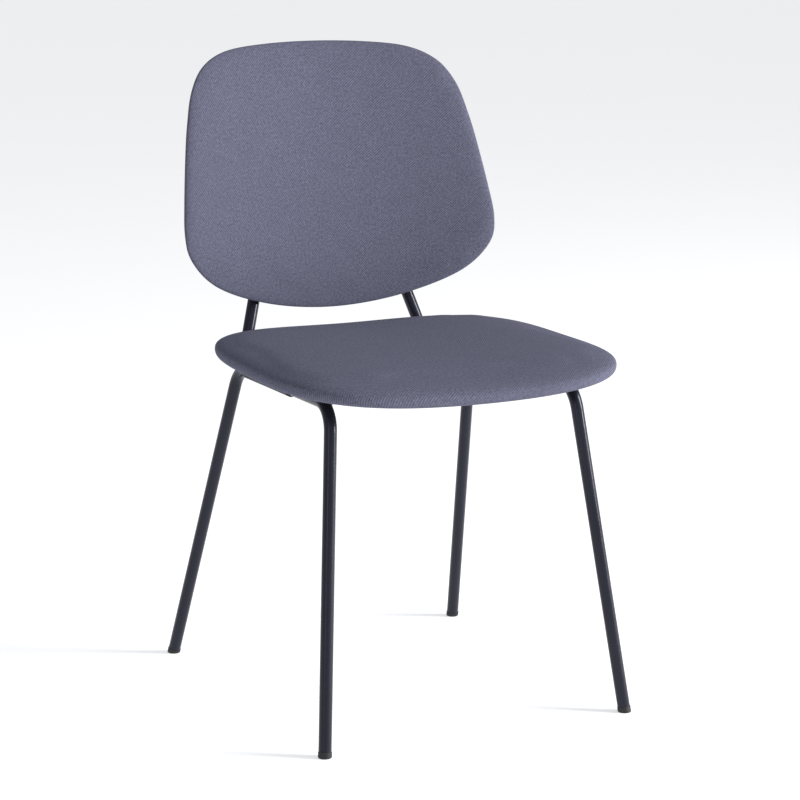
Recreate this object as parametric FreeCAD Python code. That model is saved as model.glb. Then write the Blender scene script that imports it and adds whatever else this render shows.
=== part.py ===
"""Dining chair: a bent steel tube frame that carries an upholstered seat and back.

Millimetres. The sitter faces -Y and +Z is up, so the sitter's left is +X. While the
pieces are drawn, y = 0 lies midway between the front and rear feet. The finished chair
is then moved along Y, so that the origin is the middle of its box, on the floor.
"""
import FreeCAD, Part
import math
import os

from FreeCAD import Placement, Rotation, Vector

# ---- frame tube and feet -------------------------------------------------------------
TUBE_DIAMETER = 16.0
TUBE_WALL = 1.5
BEND_RADIUS = 38.0              # centre line of every bend
FOOT_SPACING = 493.2            # front foot to rear foot, on the floor
FRONT_FEET_WIDTH = 414.6        # centre to centre, on the floor
REAR_FEET_WIDTH = 424.0
FRONT_RAIL_WIDTH = 332.2        # centre to centre, where leg and side rail lines meet
REAR_RAIL_WIDTH = 335.4
FRONT_LEG_RAKE = 69.1           # how far the front leg's top lies behind its foot
REAR_LEG_RAKE = 140.1           # how far the rear leg's top lies ahead of its foot
TUBE_END_ABOVE_FLOOR = 7.0      # along the leg
GLIDE_DIAMETER = 17.0
GLIDE_EDGE = 1.4                # rounding of the glide's sole
PLUG_STEM = 16.0                # length of glide and plug stems inside the tube
PLUG_FIT = 0.1                  # radial clearance of a stem in the tube
PLUG_HEAD = 2.5
PLUG_EDGE = 1.2

# ---- cross bars, welded between the side rails ---------------------------------------
BAR_WIDTH = 30.0
BAR_THICKNESS = 5.0
BAR_BELOW_SEAT = 4.9            # between the seat's lowest point over a bar and the bar
FRONT_BAR_AHEAD = 35.0          # bar centre lines, from the seat's centre
REAR_BAR_BEHIND = 118.5
RAIL_BELOW_SEAT = 2.4           # between the side rail and the seat, at its front end

# ---- stacking buffers, clipped under the side rails ----------------------------------
BUFFER_LENGTH = 138.0
BUFFER_WALL = 2.0
BUFFER_FROM_REAR_BEND = 3.0
BUFFER_WRAP = 2.0               # how far above the rail's centre line it reaches
CLIP_FIT = 0.1

# ---- seat ----------------------------------------------------------------------------
SEAT_WIDTH_FRONT = 471.0
SEAT_WIDTH_REAR = 447.0
SEAT_DEPTH = 433.0
SEAT_CENTRE_Y = -46.5
SEAT_RIM_HEIGHT = 430.0         # widest line of the cushion, at the seat's centre
SEAT_CROWN = 25.0               # cushion top above the rim level, at the centre
SEAT_UNDERSIDE = 10.5           # underside below the rim level
SEAT_SIDE_RISE = 14.9           # dish: rim level at the sides above the centre
SEAT_TILT_RISE = 4.35           # rim level along the depth, as a cubic from the centre
SEAT_END_RISE = 3.4
SEAT_WATERFALL = 3.6
SEAT_TOP_FALL_SIDES = 12.0      # how far the crowned top comes down towards its edges
SEAT_TOP_FALL_ENDS = 11.0
SEAT_FRONT_SQUARENESS = 3.8     # superellipse powers of the outline
SEAT_REAR_SQUARENESS = 3.2
SEAT_TOP_EDGE = 10.5
SEAT_BOTTOM_EDGE = 8.2
SEAT_PLY = 10.0
SEAT_PLY_INSET = 12.5
SEAT_HEM = 34.0                 # the fabric turned under the plywood ends this far in
HEM_START = 14.0                # and its flat part starts this far in
DUST_COVER = 0.8
DUST_COVER_INSET = 20.0
STAPLE_CROWN = (10.0, 1.2, 0.5) # along the edge, across it, thickness
STAPLE_LEG = 5.0
STAPLE_INSET = 26.0
STAPLE_COUNT = 36

# ---- back ----------------------------------------------------------------------------
BACK_WIDTH = 447.0
BACK_TOP = 204.0                # heights along the panel, from its reference point
BACK_WIDEST = -50.0
BACK_BOTTOM = -153.0
BACK_REFERENCE_HEIGHT = 620.0   # height of the reference point above the floor
BACK_LEAN = 11.87               # degrees
BACK_CURVE = 480.0              # radius that wraps round the sitter
UPRIGHT_TO_BACK = 1.0           # between the uprights' tops and the back's rear face
BACK_FRONT_DEPTH = 16.0         # front face ahead of the panel's widest surface
BACK_REAR_DEPTH = 8.0
BACK_FRONT_EDGE = 12.0
BACK_REAR_EDGE = 4.5
BACK_PLY = 8.0
BACK_PLY_INSET = 11.0
BACK_SEAM = 5.0                 # seam between the two covers, ahead of the rear face
COVER = 1.5                     # upholstery fabric with its backing, seat and back

# Right half of the back's outline, from the top round to the bottom: shares of the half
# width, and of the height above the widest line or below it.
BACK_OUTLINE = (
    (0.0, 1.0), (0.32, 0.987), (0.587, 0.948), (0.757, 0.865),
    (0.856, 0.735), (0.910, 0.565), (0.945, 0.40), (0.984, 0.16), (1.0, 0.0),
    (0.972, -0.30), (0.848, -0.59), (0.645, -0.79), (0.335, -0.945), (0.0, -1.0),
)

# ---- uprights ------------------------------------------------------------------------
UPRIGHT_SPACING = 245.0         # centre to centre, at the reference height below
UPRIGHT_HEIGHT = 450.0
UPRIGHT_BEHIND_SEAT = 12.5      # axis behind the seat's rear edge, at that height
UPRIGHT_CONVERGE = 0.3105       # inward travel per millimetre of height
UPRIGHT_LEAN = 0.2542           # rearward travel per millimetre of height
UPRIGHT_PAST_BOLT = 24.0        # tube beyond the upper bolt
UPRIGHT_PAST_BAR = 4.0          # tube beyond the front bar's front edge

# ---- fasteners: M6 button heads and tee nuts -----------------------------------------
BOLT_DIAMETER = 6.0
BOLT_HEAD = (10.5, 3.3)         # diameter, height
BOLT_SOCKET = (4.0, 2.0)        # across flats, depth
BOLT_HOLE = 6.6
THREAD_FIT = 0.05               # radial clearance that stands in for the thread
TEE_NUT_BARREL = 8.0
TEE_NUT_FLANGE = (18.0, 1.3)
SEAT_BOLT_SPACING = 170.0
SPACER_DIAMETER = 18.0
LOWER_BOLT_UP = 91.0            # back bolts, height above the back's bottom edge
BACK_BOLT_PITCH = 65.0
BACK_SPACER_DIAMETER = 14.0
SADDLE_WASHER = (13.0, 1.5)     # diameter, thickness over the tube
GAP = 0.1                       # between pieces that lie against each other

UP = Vector(0, 0, 1)
REACH = 1000.0                  # longer than the chair, for cutting solids
TUBE_RADIUS = TUBE_DIAMETER / 2
BORE_RADIUS = TUBE_RADIUS - TUBE_WALL
SIDES = (("left", 1), ("right", -1))


# ---- helpers -------------------------------------------------------------------------
def rod(start, direction, radius, length):
    return Part.makeCylinder(radius, length, start, direction)


def one_solid(shape):
    """The largest solid of a boolean's result, as a plain solid."""
    return max(shape.Solids, key=lambda solid: solid.Volume)


def hollow(outer, inner):
    """The outer solid with the inner one, which lies wholly inside it, left out."""
    return Part.Solid(Part.Compound([outer.Shells[0], inner.Shells[0].reversed()]))


def rounded_path(points, radius):
    """Straight runs joined by tangent arcs of one radius."""
    edges = []
    start = points[0]
    for before, corner, after in zip(points, points[1:], points[2:]):
        back_along = (before - corner).normalize()
        on_along = (after - corner).normalize()
        half_turn = (math.pi - back_along.getAngle(on_along)) / 2
        trim = radius * math.tan(half_turn)
        inward = (back_along + on_along).normalize()
        middle = corner + inward * (radius / math.cos(half_turn) - radius)
        arc_start = corner + back_along * trim
        arc_end = corner + on_along * trim
        edges.append(Part.LineSegment(start, arc_start).toShape())
        edges.append(Part.Arc(arc_start, middle, arc_end).toShape())
        start = arc_end
    edges.append(Part.LineSegment(start, points[-1]).toShape())
    return Part.Wire(edges)


def bent_rod(points, radius):
    ring = Part.Wire(Part.makeCircle(radius, points[0], points[1] - points[0]))
    return rounded_path(points, BEND_RADIUS).makePipeShell([ring], True, False)


def bent_tube(points):
    return one_solid(bent_rod(points, TUBE_RADIUS).cut(bent_rod(points, BORE_RADIUS)))


def mirrored(point, side):
    return Vector(point.x * side, point.y, point.z)


def closed_curve(points):
    curve = Part.BSplineCurve()
    curve.interpolate(Points=points, PeriodicFlag=True)
    return Part.Face(Part.Wire(curve.toShape()))


# ---- seat shape ----------------------------------------------------------------------
def seat_rim(x, y):
    """Height of the cushion's widest line, carried across the whole seat."""
    across = x / (SEAT_WIDTH_FRONT / 2)
    along = (y - SEAT_CENTRE_Y) / (SEAT_DEPTH / 2)
    return (SEAT_RIM_HEIGHT + SEAT_SIDE_RISE * across ** 2 + SEAT_TILT_RISE * along
            + SEAT_END_RISE * along ** 2 + SEAT_WATERFALL * along ** 3)


def seat_top(x, y):
    across = x / (SEAT_WIDTH_FRONT / 2)
    along = (y - SEAT_CENTRE_Y) / (SEAT_DEPTH / 2)
    fall = SEAT_TOP_FALL_SIDES * across ** 2 + SEAT_TOP_FALL_ENDS * along ** 2
    return seat_rim(x, y) + SEAT_CROWN - fall


def seat_underside(x, y):
    return seat_rim(x, y) - SEAT_UNDERSIDE


def seat_outline_point(angle, inset):
    """Superellipse whose front corners are squarer than the rear ones."""
    across, along = math.cos(angle), math.sin(angle)
    squareness = SEAT_FRONT_SQUARENESS if along < 0 else SEAT_REAR_SQUARENESS
    across = math.copysign(abs(across) ** (2 / squareness), across)
    along = math.copysign(abs(along) ** (2 / squareness), along)
    taper = (SEAT_WIDTH_FRONT - SEAT_WIDTH_REAR) / 4
    half_width = (SEAT_WIDTH_FRONT + SEAT_WIDTH_REAR) / 4 - taper * along - inset
    return Vector(half_width * across, SEAT_CENTRE_Y + (SEAT_DEPTH / 2 - inset) * along, 0)


def seat_prism(inset):
    steps = 24
    points = [seat_outline_point(2 * math.pi * i / steps, inset) for i in range(steps)]
    return closed_curve(points).extrude(UP * REACH)


def side_of_surface(height, shift, direction):
    """Solid on one side of a surface over the seat: direction 1 above it, -1 below."""
    half_x, half_y, steps = SEAT_WIDTH_FRONT * 0.6, SEAT_DEPTH * 0.6, 8
    rows = []
    for i in range(steps + 1):
        x = half_x * (2 * i / steps - 1)
        ys = [SEAT_CENTRE_Y + half_y * (2 * j / steps - 1) for j in range(steps + 1)]
        rows.append([Vector(x, y, height(x, y) + shift) for y in ys])
    surface = Part.BSplineSurface()
    surface.interpolate(rows)
    return surface.toShape().extrude(UP * REACH * direction)


def seat_layer(inset, bottom, bottom_shift, top, top_shift):
    above = side_of_surface(bottom, bottom_shift, 1)
    below = side_of_surface(top, top_shift, -1)
    return one_solid(seat_prism(inset).common(above).common(below))


def seat_cushion(inset):
    """Whole cushion with rounded edges, drawn in from its skin by inset."""
    body = seat_layer(inset, seat_underside, inset, seat_top, -inset)
    top_face = max(body.Faces, key=lambda face: face.CenterOfMass.z)
    body = body.makeFillet(SEAT_TOP_EDGE - inset, top_face.Edges)
    bottom_face = min(body.Faces, key=lambda face: face.CenterOfMass.z)
    return one_solid(body.makeFillet(SEAT_BOTTOM_EDGE - inset, bottom_face.Edges))


# ---- heights and places that follow from the seat ------------------------------------
FRONT_RAIL_Y = -FOOT_SPACING / 2 + FRONT_LEG_RAKE
REAR_RAIL_Y = FOOT_SPACING / 2 - REAR_LEG_RAKE
RAIL_Z = (seat_underside(FRONT_RAIL_WIDTH / 2, FRONT_RAIL_Y)
          - RAIL_BELOW_SEAT - TUBE_RADIUS)
FRONT_BAR_Y = SEAT_CENTRE_Y - FRONT_BAR_AHEAD
REAR_BAR_Y = SEAT_CENTRE_Y + REAR_BAR_BEHIND
BAR_TOP = seat_underside(0, FRONT_BAR_Y) - BAR_BELOW_SEAT
BAR_BOTTOM = BAR_TOP - BAR_THICKNESS
RUN_Z = BAR_BOTTOM - TUBE_RADIUS    # the uprights' level run, under the bars
UPRIGHT_Y = SEAT_CENTRE_Y + SEAT_DEPTH / 2 + UPRIGHT_BEHIND_SEAT


def upright_point(height, side=1):
    """Point on the upright's straight upper run."""
    climb = height - UPRIGHT_HEIGHT
    x = UPRIGHT_SPACING / 2 - UPRIGHT_CONVERGE * climb
    return Vector(side * x, UPRIGHT_Y + UPRIGHT_LEAN * climb, height)


BACK_COS = math.cos(math.radians(BACK_LEAN))
LOWER_BOLT_Z = BACK_REFERENCE_HEIGHT + (BACK_BOTTOM + LOWER_BOLT_UP) * BACK_COS
BOLT_HEIGHTS = (LOWER_BOLT_Z, LOWER_BOLT_Z + BACK_BOLT_PITCH * BACK_COS)
# The back curves forward to either side, so its rear face is closest to the uprights
# where they are nearest together: at their tops.
UPRIGHT_TOP_X = upright_point(BOLT_HEIGHTS[1] + UPRIGHT_PAST_BOLT).x
BACK_CURVES_FORWARD = BACK_CURVE - math.sqrt(BACK_CURVE ** 2 - UPRIGHT_TOP_X ** 2)
BACK_AHEAD = TUBE_RADIUS + UPRIGHT_TO_BACK + BACK_REAR_DEPTH - BACK_CURVES_FORWARD
BACK_PLACE = Placement(
    Vector(0, upright_point(BACK_REFERENCE_HEIGHT).y - BACK_AHEAD, BACK_REFERENCE_HEIGHT),
    Rotation(Vector(1, 0, 0), -BACK_LEAN))


# ---- frame ---------------------------------------------------------------------------
def side_frame_points(side):
    front_foot = Vector(FRONT_FEET_WIDTH / 2, -FOOT_SPACING / 2, 0)
    front_top = Vector(FRONT_RAIL_WIDTH / 2, FRONT_RAIL_Y, RAIL_Z)
    rear_top = Vector(REAR_RAIL_WIDTH / 2, REAR_RAIL_Y, RAIL_Z)
    rear_foot = Vector(REAR_FEET_WIDTH / 2, FOOT_SPACING / 2, 0)
    return [mirrored(point, side) for point in (front_foot, front_top, rear_top, rear_foot)]


def leg_end(foot, top):
    """End of the leg's tube, short of the floor, and the direction down the leg."""
    down = (foot - top).normalize()
    return foot - down * TUBE_END_ABOVE_FLOOR, down


def side_frame(side):
    front_foot, front_top, rear_top, rear_foot = side_frame_points(side)
    front_end, _ = leg_end(front_foot, front_top)
    rear_end, _ = leg_end(rear_foot, rear_top)
    return bent_tube([front_end, front_top, rear_top, rear_end])


def foot_glide(foot, top):
    end, down = leg_end(foot, top)
    head = rod(end, down, GLIDE_DIAMETER / 2, 3 * TUBE_END_ABOVE_FLOOR)
    floor = Part.makeBox(REACH, REACH, REACH, foot - Vector(REACH / 2, REACH / 2, REACH))
    head = one_solid(head.cut(floor))
    sole = min(head.Faces, key=lambda face: face.CenterOfMass.z)
    head = head.makeFillet(GLIDE_EDGE, sole.Edges)
    stem = rod(end + down, down * -1, BORE_RADIUS - PLUG_FIT, PLUG_STEM + 1)
    return one_solid(head.fuse(stem).removeSplitter())


def end_plug(end, outward):
    head = rod(end, outward, TUBE_RADIUS, PLUG_HEAD)
    rim = [edge for edge in head.Edges
           if (edge.CenterOfMass - end).dot(outward) > PLUG_HEAD * 0.9]
    head = head.makeFillet(PLUG_EDGE, rim)
    stem = rod(end + outward, outward * -1, BORE_RADIUS - PLUG_FIT, PLUG_STEM + 1)
    return one_solid(head.fuse(stem).removeSplitter())


def cross_bar(y, rails):
    half_length = REAR_RAIL_WIDTH / 2
    bar = Part.makeBox(2 * half_length, BAR_WIDTH, BAR_THICKNESS,
                       Vector(-half_length, y - BAR_WIDTH / 2, BAR_BOTTOM))
    holes = [rod(Vector(side * SEAT_BOLT_SPACING / 2, y, 0), UP, BOLT_HOLE / 2, REACH)
             for _, side in SIDES]
    return one_solid(bar.cut(rails + holes))


def stacking_buffer(side):
    _, front_top, rear_top, rear_foot = side_frame_points(side)
    forward = (front_top - rear_top).normalize()
    turn = math.pi - forward.getAngle(rear_foot - rear_top)
    start = rear_top + forward * (BEND_RADIUS * math.tan(turn / 2) + BUFFER_FROM_REAR_BEND)
    shell = rod(start, forward, TUBE_RADIUS + CLIP_FIT + BUFFER_WALL, BUFFER_LENGTH)
    shell = shell.cut(rod(start, forward, TUBE_RADIUS + CLIP_FIT, BUFFER_LENGTH))
    above = Part.makeBox(REACH, REACH, REACH,
                         Vector(-REACH / 2, -REACH / 2, RAIL_Z + BUFFER_WRAP))
    return one_solid(shell.cut(above))


def upright_points(side):
    front_end = FRONT_BAR_Y - BAR_WIDTH / 2 - UPRIGHT_PAST_BAR
    corner = upright_point(RUN_Z, side)
    top = upright_point(BOLT_HEIGHTS[1], side)
    top = top + (top - corner).normalize() * UPRIGHT_PAST_BOLT
    return [Vector(corner.x, front_end, RUN_Z), corner, top]


# ---- fasteners -----------------------------------------------------------------------
def bolt(seat_point, into, length):
    """Button-head bolt: its head's underside is at seat_point, its shank goes into."""
    head_diameter, head_height = BOLT_HEAD
    socket, socket_depth = BOLT_SOCKET
    outward = into * -1
    head = rod(seat_point, outward, head_diameter / 2, head_height)
    rim = [edge for edge in head.Edges
           if (edge.CenterOfMass - seat_point).dot(outward) > head_height * 0.9]
    head = head.makeFillet(head_height * 0.6, rim)
    hexagon = [Vector(math.cos(a), math.sin(a), 0) * (socket / math.sqrt(3))
               for a in [math.pi / 3 * i for i in range(7)]]
    key = Part.Face(Part.makePolygon(hexagon)).extrude(UP * REACH)
    key.Placement = Placement(seat_point + outward * (head_height - socket_depth),
                              Rotation(UP, outward))
    shank = rod(seat_point, into, BOLT_DIAMETER / 2, length)
    return one_solid(head.cut(key).fuse(shank).removeSplitter())


def tee_nut(flange_point, into, length):
    """Flanged nut: its flange lies on the plywood, its barrel goes into the hole."""
    flange_diameter, flange_height = TEE_NUT_FLANGE
    flange = rod(flange_point, into * -1, flange_diameter / 2, flange_height)
    barrel = rod(flange_point, into, TEE_NUT_BARREL / 2 - GAP, length)
    bore = rod(flange_point + into * -REACH / 2, into,
               BOLT_DIAMETER / 2 + THREAD_FIT, REACH)
    return flange.fuse(barrel).cut(bore)


def group(shapes):
    return Part.Compound([one_solid(shape) for shape in shapes])


# ---- seat assembly -------------------------------------------------------------------
def seat_bolt_places():
    return [(side * SEAT_BOLT_SPACING / 2, y)
            for y in (FRONT_BAR_Y, REAR_BAR_Y) for _, side in SIDES]


def staples():
    """U-shaped staples round the hem, in line with the edge."""
    length, width, thickness = STAPLE_CROWN
    shapes = []
    for i in range(STAPLE_COUNT):
        angle = 2 * math.pi * (i + 0.5) / STAPLE_COUNT
        place = seat_outline_point(angle, STAPLE_INSET)
        along = seat_outline_point(angle + 0.01, STAPLE_INSET) - place
        turn = math.degrees(math.atan2(along.y, along.x))
        crown = Part.makeBox(length, width, thickness, Vector(-length / 2, -width / 2, 0))
        leg = Part.makeBox(thickness, width, STAPLE_LEG)
        legs = [leg.translated(Vector(x, -width / 2, 0))
                for x in (-length / 2, length / 2 - thickness)]
        shape = crown.fuse(legs).removeSplitter()
        sink = seat_underside(place.x, place.y) - thickness - GAP
        shape.Placement = Placement(Vector(place.x, place.y, sink), Rotation(UP, turn))
        shapes.append(shape)
    return shapes


def seat_parts():
    skin, core = seat_cushion(0), seat_cushion(COVER)
    ply = seat_layer(SEAT_PLY_INSET, seat_underside, COVER,
                     seat_underside, COVER + SEAT_PLY)
    ply_room = seat_layer(SEAT_PLY_INSET, seat_underside, -SEAT_PLY,
                          seat_underside, COVER + SEAT_PLY)
    # The fabric is one piece: it wraps the edges, and a hem is turned under the plywood.
    wrap = hollow(skin, core).cut(seat_layer(HEM_START, seat_underside, -SEAT_PLY,
                                             seat_underside, SEAT_PLY))
    hem = seat_layer(HEM_START, seat_underside, 0, seat_underside, COVER)

    dust_top = -STAPLE_CROWN[2] - 2 * GAP
    dust_cover = seat_layer(DUST_COVER_INSET, seat_underside, dust_top - DUST_COVER,
                            seat_underside, dust_top)
    below_ply = side_of_surface(seat_underside, COVER, -1)

    bolts, nuts, spacers, barrels, flange_rooms, spacer_rooms = [], [], [], [], [], []
    for x, y in seat_bolt_places():
        ply_top = seat_underside(x, y) + COVER + SEAT_PLY
        bolts.append(bolt(Vector(x, y, BAR_BOTTOM), UP, ply_top - BAR_BOTTOM - GAP))
        nuts.append(tee_nut(Vector(x, y, ply_top), UP * -1, SEAT_PLY - 2 * GAP).cut(ply))
        barrels.append(rod(Vector(x, y, 0), UP, TEE_NUT_BARREL / 2, REACH))
        flange_rooms.append(rod(Vector(x, y, ply_top - TEE_NUT_FLANGE[1]), UP,
                                TEE_NUT_FLANGE[0] / 2 + GAP, 2 * TEE_NUT_FLANGE[1] + GAP))
        spacer = rod(Vector(x, y, BAR_TOP), UP, SPACER_DIAMETER / 2, REACH)
        hole = rod(Vector(x, y, 0), UP, BOLT_HOLE / 2, REACH)
        spacers.append(spacer.common(below_ply).cut(hole))
        spacer_rooms.append(rod(Vector(x, y, 0), UP, SPACER_DIAMETER / 2 + 1, REACH))

    hem_staples = staples()
    hem = one_solid(hem.cut([seat_prism(SEAT_HEM)] + hem_staples))
    return {
        "seat_plywood": one_solid(ply.cut(barrels + hem_staples)),
        "seat_foam": one_solid(core.cut([ply_room] + flange_rooms)),
        "seat_cover": one_solid(wrap.fuse(hem)),
        "seat_dust_cover": one_solid(dust_cover.cut(spacer_rooms)),
        "seat_staples": group(hem_staples),
        "seat_bolts": group(bolts),
        "seat_tee_nuts": group(nuts),
        "seat_spacers": group(spacers),
    }


# ---- back assembly, drawn upright about its own reference point ----------------------
def back_prism(inset):
    half_width = BACK_WIDTH / 2 - inset
    rise = BACK_TOP - BACK_WIDEST - inset
    drop = BACK_WIDEST - BACK_BOTTOM - inset
    half = [Vector(half_width * x, -REACH / 2, BACK_WIDEST + (rise if z > 0 else drop) * z)
            for x, z in BACK_OUTLINE]
    other_half = [mirrored(point, -1) for point in reversed(half[1:-1])]
    return closed_curve(half + other_half).extrude(Vector(0, REACH, 0))


def inside_radius(depth):
    """Everything ahead of the coaxial surface at this depth behind the widest one."""
    return Part.makeCylinder(BACK_CURVE + depth, REACH, Vector(0, -BACK_CURVE, -REACH / 2))


def back_layer(inset, front, rear):
    layer = inside_radius(rear).cut(inside_radius(front))
    rear_half = Part.makeBox(REACH, REACH, REACH, Vector(-REACH / 2, -BACK_CURVE, -REACH / 2))
    return one_solid(layer.common(rear_half).common(back_prism(inset)))


def coaxial_face(body, depth):
    """The panel's front or rear face, known by its radius."""
    round_faces = [face for face in body.Faces if hasattr(face.Surface, "Radius")]
    return min(round_faces, key=lambda face: abs(face.Surface.Radius - BACK_CURVE - depth))


def back_cushion(inset):
    front, rear = inset - BACK_FRONT_DEPTH, BACK_REAR_DEPTH - inset
    body = back_layer(inset, front, rear)
    body = body.makeFillet(BACK_FRONT_EDGE - inset, coaxial_face(body, front).Edges)
    return one_solid(body.makeFillet(BACK_REAR_EDGE - inset, coaxial_face(body, rear).Edges))


def back_bolt_lines():
    """For each bolt: a point on the upright's axis and the way into the plywood,
    square to it, in the chair's frame, with the distance to the widest surface."""
    lines = []
    for _, side in SIDES:
        for height in BOLT_HEIGHTS:
            point = upright_point(height, side)
            local = BACK_PLACE.inverse().multVec(point)
            radial = Vector(local.x, local.y + BACK_CURVE, 0)
            reach = radial.Length - BACK_CURVE
            into = BACK_PLACE.Rotation.multVec(radial.normalize() * -1)
            lines.append((point, into, reach))
    return lines


def back_parts(uprights):
    place = BACK_PLACE.toMatrix()
    seam = BACK_REAR_DEPTH - BACK_SEAM
    skin, core = back_cushion(0), back_cushion(COVER)
    shell = hollow(skin, core)
    ahead_of_seam = inside_radius(seam)
    ply = back_layer(BACK_PLY_INSET, -BACK_PLY / 2, BACK_PLY / 2)
    padding = hollow(core, ply)
    ahead_of_ply_rear = inside_radius(BACK_PLY / 2)

    bolts, nuts, spacers, washers, barrels, flange_rooms = [], [], [], [], [], []
    washer_diameter, washer_thickness = SADDLE_WASHER
    ply = ply.transformed(place, True)
    ahead_of_rear_face = inside_radius(BACK_REAR_DEPTH).transformed(place, True)
    for point, into, reach in back_bolt_lines():
        to_ply_front = reach + BACK_PLY / 2
        head_seat = point - into * (TUBE_RADIUS + washer_thickness)
        shank = TUBE_RADIUS + washer_thickness + to_ply_front - GAP
        bolts.append(bolt(head_seat, into, shank))
        hole = rod(head_seat - into * BOLT_HEAD[1], into, BOLT_HOLE / 2, shank)
        washer = rod(point, into * -1, washer_diameter / 2, TUBE_RADIUS + washer_thickness)
        washers.append(washer.cut(uprights + [hole]))
        spacer = rod(point, into, BACK_SPACER_DIAMETER / 2, reach)
        spacers.append(spacer.cut(uprights + [ahead_of_rear_face, hole]))
        barrels.append(rod(point, into, TEE_NUT_BARREL / 2, to_ply_front + 2 * GAP))
        flange_seat = point + into * to_ply_front
        nuts.append(tee_nut(flange_seat, into * -1, BACK_PLY - 2 * GAP).cut(ply))
        flange_rooms.append(rod(flange_seat - into * TEE_NUT_FLANGE[1], into,
                                TEE_NUT_FLANGE[0] / 2 + GAP, 2 * TEE_NUT_FLANGE[1] + GAP))

    def placed(shape, tools):
        return one_solid(shape.transformed(place, True).cut(tools))

    return {
        "back_plywood": one_solid(ply.cut(barrels)),
        "back_foam_front": placed(padding.common(ahead_of_ply_rear), flange_rooms),
        "back_wadding_rear": placed(padding.cut(ahead_of_ply_rear), barrels),
        "back_cover_front": one_solid(shell.common(ahead_of_seam).transformed(place, True)),
        "back_cover_rear": placed(shell.cut(ahead_of_seam), barrels),
        "back_bolts": group(bolts),
        "back_tee_nuts": group(nuts),
        "back_spacers": group(spacers),
        "back_saddle_washers": group(washers),
    }


# ---- the chair -----------------------------------------------------------------------
def frame_parts(upright_rods):
    parts = {}
    rails = [bent_rod(side_frame_points(side), TUBE_RADIUS) for _, side in SIDES]
    parts["front_cross_bar"] = cross_bar(FRONT_BAR_Y, rails)
    parts["rear_cross_bar"] = cross_bar(REAR_BAR_Y, rails)
    bolt_holes = [rod(point - into * TUBE_DIAMETER, into, BOLT_HOLE / 2, 2 * TUBE_DIAMETER)
                  for point, into, _ in back_bolt_lines()]
    for name, side in SIDES:
        parts["side_frame_" + name] = side_frame(side)
        front_foot, front_top, rear_top, rear_foot = side_frame_points(side)
        parts["foot_glide_front_" + name] = foot_glide(front_foot, front_top)
        parts["foot_glide_rear_" + name] = foot_glide(rear_foot, rear_top)
        parts["stacking_buffer_" + name] = stacking_buffer(side)
        points = upright_points(side)
        parts["back_upright_" + name] = one_solid(bent_tube(points).cut(bolt_holes))
        front_end, corner, top = points
        parts["upright_plug_front_" + name] = end_plug(front_end, Vector(0, -1, 0))
        parts["upright_plug_top_" + name] = end_plug(top, (top - corner).normalize())
    return parts


def main():
    upright_rods = [bent_rod(upright_points(side), TUBE_RADIUS) for _, side in SIDES]
    parts = frame_parts(upright_rods)
    parts.update(seat_parts())
    parts.update(back_parts(upright_rods))

    box = Part.Compound(list(parts.values())).optimalBoundingBox(False, False)
    to_middle = Vector(0, -(box.YMin + box.YMax) / 2, 0)
    os.makedirs("parts", exist_ok=True)
    for name, shape in sorted(parts.items()):
        shape = shape.translated(to_middle)
        shape.exportStep(os.path.join("parts", name + ".step"))
        print(f"{name:28s} solids {len(shape.Solids):3d}  volume {shape.Volume / 1000:9.2f} cm3"
              f"  valid {shape.isValid()}")
    print(f"moved by {to_middle.y:.2f} mm; box {box.XLength:.1f} x {box.YLength:.1f}"
          f" x {box.ZLength:.1f} mm")


main()
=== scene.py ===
# %% [markdown]
# # A dining chair: steel tube frame, upholstered seat and back
# The chair arrives as CAD: thirty-three named pieces that fit each other. This lesson keeps
# the hard parts as they are and gives them real finishes, and it rebuilds the soft parts,
# because a CAD solid of a cushion has none of the fullness and weave of real cloth.
# Everything is in metres, the sitter faces -Y and the origin is on the floor.

# %% Load the CAD frame
import bpy, bmesh, math
import numpy as np
from mathutils import Euler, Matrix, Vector


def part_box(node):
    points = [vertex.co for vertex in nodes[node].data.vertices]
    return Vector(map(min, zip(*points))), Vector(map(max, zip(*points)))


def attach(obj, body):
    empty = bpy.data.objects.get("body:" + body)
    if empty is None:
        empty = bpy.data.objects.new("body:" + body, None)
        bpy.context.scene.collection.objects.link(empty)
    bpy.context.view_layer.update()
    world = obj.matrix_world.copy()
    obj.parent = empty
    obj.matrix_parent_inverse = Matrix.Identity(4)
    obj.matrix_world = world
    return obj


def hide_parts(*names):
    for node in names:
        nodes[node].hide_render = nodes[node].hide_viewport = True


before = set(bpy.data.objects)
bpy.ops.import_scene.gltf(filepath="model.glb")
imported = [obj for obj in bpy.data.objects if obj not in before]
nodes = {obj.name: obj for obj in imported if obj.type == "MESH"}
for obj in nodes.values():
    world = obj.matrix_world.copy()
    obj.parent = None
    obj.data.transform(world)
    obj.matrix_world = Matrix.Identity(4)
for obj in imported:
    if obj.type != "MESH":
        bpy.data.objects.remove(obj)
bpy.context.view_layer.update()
MM = 0.001

# %% [markdown]
# ## Camera
# A long lens from far away keeps the chair's verticals nearly parallel, as catalogue
# pictures do. Placing the camera by numbers, not by hand, lets the same picture be made
# again after every change.

# %% Camera
scene = bpy.context.scene
camera_data = bpy.data.cameras.new("camera")
camera_data.lens = 121.5
camera_data.sensor_width = 36
camera = bpy.data.objects.new("camera", camera_data)
camera.location = (-1.4642, -3.0713, 1.0509)
camera.rotation_euler = Euler((math.radians(78.77), 0, math.radians(-25.65)))
scene.collection.objects.link(camera)
scene.camera = camera
print("camera", round(camera.location.length, 2), "m from the origin")

# %% [markdown]
# ## Studio
# A pale floor that runs out of sight, a large soft key light low on the sitter's left, and
# a narrow fill on the right. The key is a big area light, because its size is what draws a
# long soft stripe along each round tube, and it stands low, so that upright cloth is
# brighter than the seat. What the camera sees past the floor is plain white, while the
# light that the sky gives is kept lower, with a Light Path node.

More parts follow.
